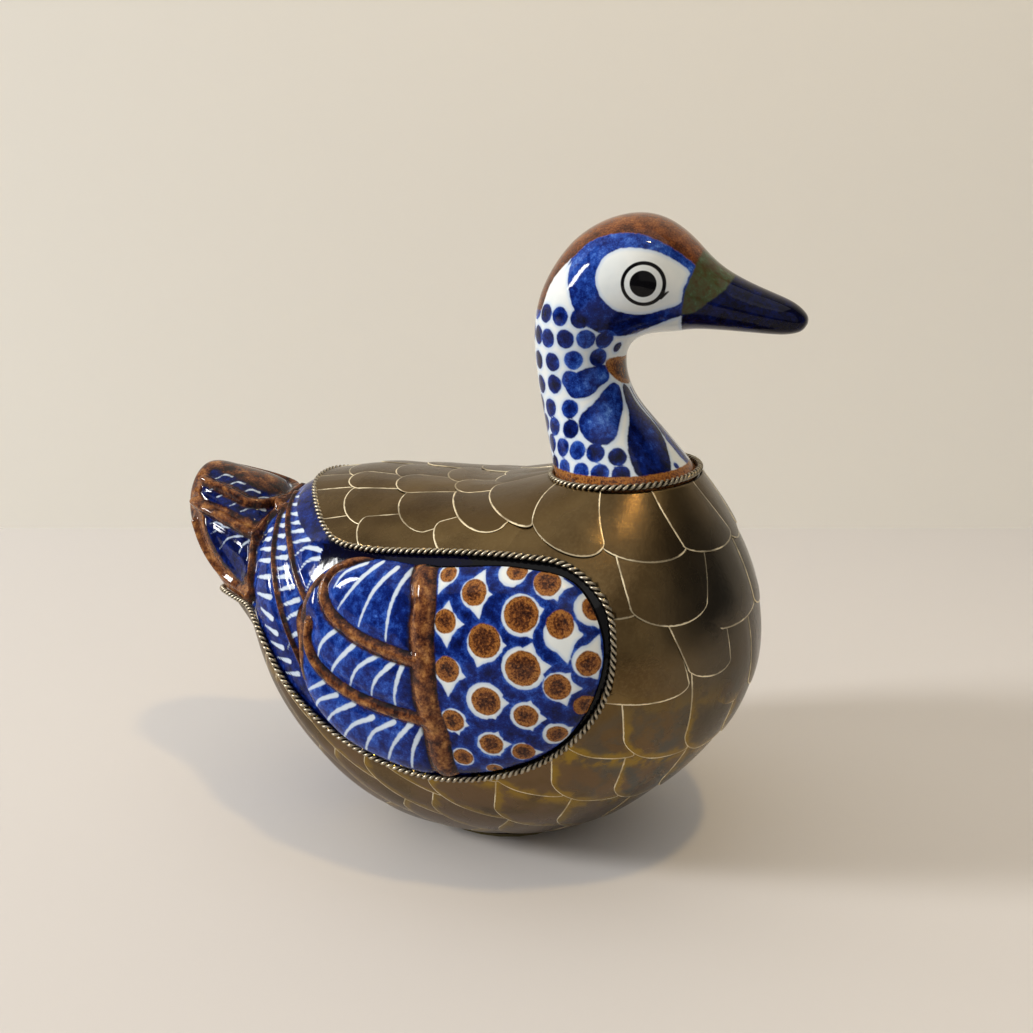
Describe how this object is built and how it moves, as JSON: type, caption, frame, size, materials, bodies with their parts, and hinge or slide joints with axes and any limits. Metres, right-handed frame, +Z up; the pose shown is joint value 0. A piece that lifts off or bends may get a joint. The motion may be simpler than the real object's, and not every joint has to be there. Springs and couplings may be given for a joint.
{
  "type": "duck figurine",
  "caption": "Hollow glazed ceramic duck ornament clad in lapped brass feathers, with twisted wire round its bare painted wings and tail and a flat sole to stand on.",
  "frame": {"origin": "centre of the ornament's length and width, on the plane it stands on", "axes": "+X the way the duck looks, +Y its left, +Z up"},
  "size_m": [0.274, 0.163, 0.2698],
  "materials": {
    "glazed_ceramic": "gloss glaze over blue, green and brown brush painting",
    "brass_feathers": "antique olive-brown patina with bright worn edges",
    "twisted_wire": "worn twisted wire, bright on the crests",
    "sole": "dull patina"
  },
  "bodies": {
    "root": {"back_feather_3_1": "brass_feathers", "back_feather_3_2": "brass_feathers", "back_feather_3_3": "brass_feathers", "back_feather_3_4": "brass_feathers", "back_feather_3_5": "brass_feathers", "back_feather_3_6": "brass_feathers", "back_feather_4_1": "brass_feathers", "back_feather_4_2": "brass_feathers", "back_feather_4_3": "brass_feathers", "back_feather_4_4": "brass_feathers", "back_feather_4_5": "brass_feathers", "back_feather_4_6": "brass_feathers", "back_feather_5_2": "brass_feathers", "back_feather_5_3": "brass_feathers", "back_feather_5_4": "brass_feathers", "back_feather_5_5": "brass_feathers", "back_feather_5_6": "brass_feathers", "belly_strip_4": "brass_feathers", "belly_strip_5": "brass_feathers", "belly_strip_6": "brass_feathers", "breast_feather_1": "brass_feathers", "breast_feather_2": "brass_feathers", "breast_feather_3": "brass_feathers", "breast_feather_4": "brass_feathers", "breast_feather_5": "brass_feathers", "breast_feather_6": "brass_feathers", "breast_feather_7": "brass_feathers", "ceramic_duck": "glazed_ceramic", "neck_feather_1": "brass_feathers", "neck_feather_10": "brass_feathers", "neck_feather_2": "brass_feathers", "neck_feather_3": "brass_feathers", "neck_feather_4": "brass_feathers", "neck_feather_5": "brass_feathers", "neck_feather_6": "brass_feathers", "neck_feather_7": "brass_feathers", "neck_feather_8": "brass_feathers", "neck_feather_9": "brass_feathers", "neck_rope": "twisted_wire", "rump_strip_10": "brass_feathers", "rump_strip_11": "brass_feathers", "rump_strip_12": "brass_feathers", "rump_strip_7": "brass_feathers", "rump_strip_8": "brass_feathers", "rump_strip_9_a": "brass_feathers", "rump_strip_9_b": "brass_feathers", "shoulder_feather_1": "brass_feathers", "shoulder_feather_10": "brass_feathers", "shoulder_feather_2": "brass_feathers", "shoulder_feather_3": "brass_feathers", "shoulder_feather_4": "brass_feathers", "shoulder_feather_5": "brass_feathers", "shoulder_feather_6": "brass_feathers", "shoulder_feather_7": "brass_feathers", "shoulder_feather_8": "brass_feathers", "shoulder_feather_9": "brass_feathers", "sole_plate": "sole", "window_rope": "twisted_wire"}
  },
  "joints": []
}
